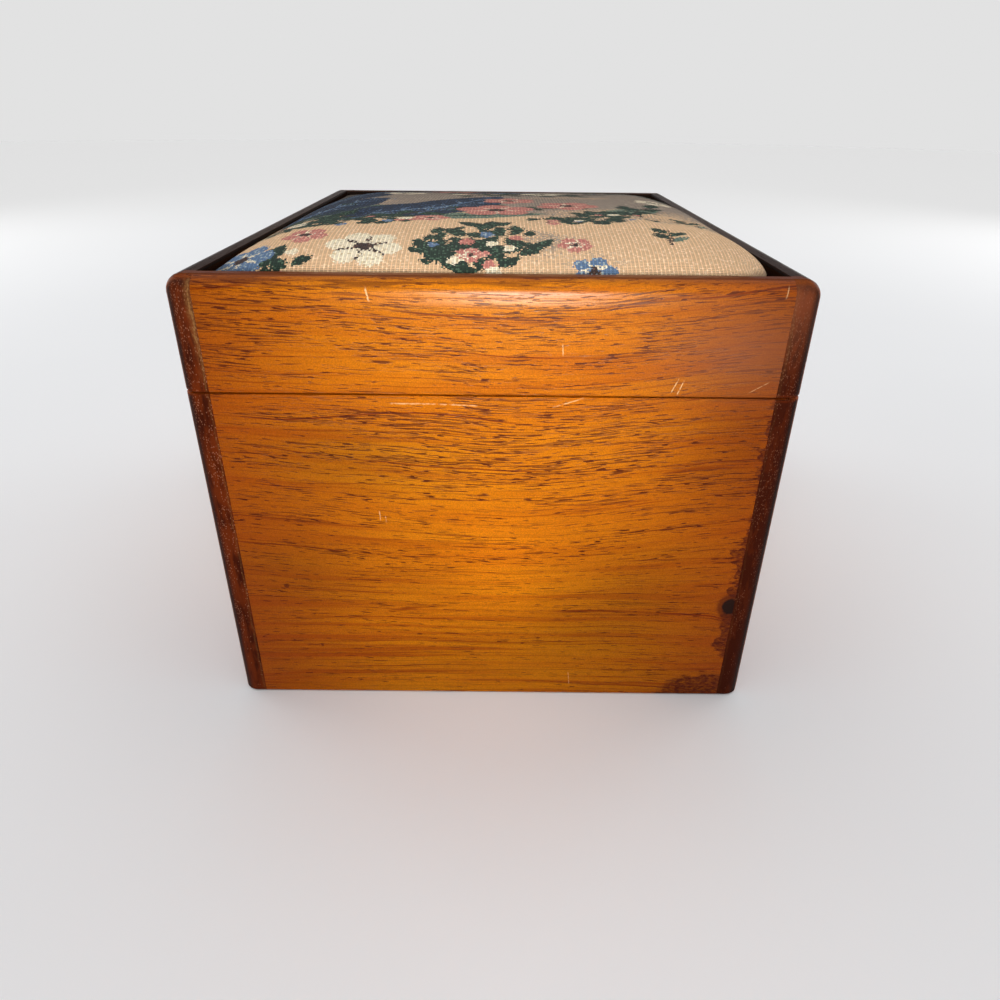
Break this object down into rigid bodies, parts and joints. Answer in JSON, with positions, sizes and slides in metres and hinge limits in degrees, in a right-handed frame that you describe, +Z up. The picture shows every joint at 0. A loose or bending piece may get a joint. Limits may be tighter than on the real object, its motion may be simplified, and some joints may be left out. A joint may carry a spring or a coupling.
{
  "type": "recipe card box",
  "caption": "Varnished wooden box for recipe cards, with a back-hinged lid that holds an upholstered tapestry pad in a recess.",
  "frame": {"origin": "middle of the underside, midway between the sides and between front and back", "axes": "+X to the right as seen from the front, +Y to the hinged back, +Z up"},
  "size_m": [0.152, 0.196, 0.128],
  "materials": {
    "varnished_wood": "gloss",
    "plywood": "matte",
    "hardboard": "matte",
    "tapestry_fabric": "matte",
    "foam": "matte",
    "brass": "satin",
    "steel": "satin"
  },
  "bodies": {
    "box_body": {"body_front_board": "varnished_wood", "body_back_board": "varnished_wood", "body_left_board": "varnished_wood", "body_right_board": "varnished_wood", "bottom_panel": "plywood", "left_hinge_body_leaf": "brass", "left_hinge_pin": "brass", "left_hinge_body_screws": "brass", "right_hinge_body_leaf": "brass", "right_hinge_pin": "brass", "right_hinge_body_screws": "brass"},
    "lid": {"lid_front_rail": "varnished_wood", "lid_back_rail": "varnished_wood", "lid_left_rail": "varnished_wood", "lid_right_rail": "varnished_wood", "lid_panel": "plywood", "pad_board": "hardboard", "pad_foam": "foam", "tapestry_cover": "tapestry_fabric", "cover_staples": "steel", "left_hinge_lid_leaf": "brass", "left_hinge_lid_screws": "brass", "right_hinge_lid_leaf": "brass", "right_hinge_lid_screws": "brass"}
  },
  "joints": [
    {"name": "lid_hinge", "type": "hinge", "parent": "box_body", "child": "lid", "pos_m": [0, 0.09625, 0.0962], "axis": [-1, 0, 0], "range_deg": [0, 95]}
  ]
}
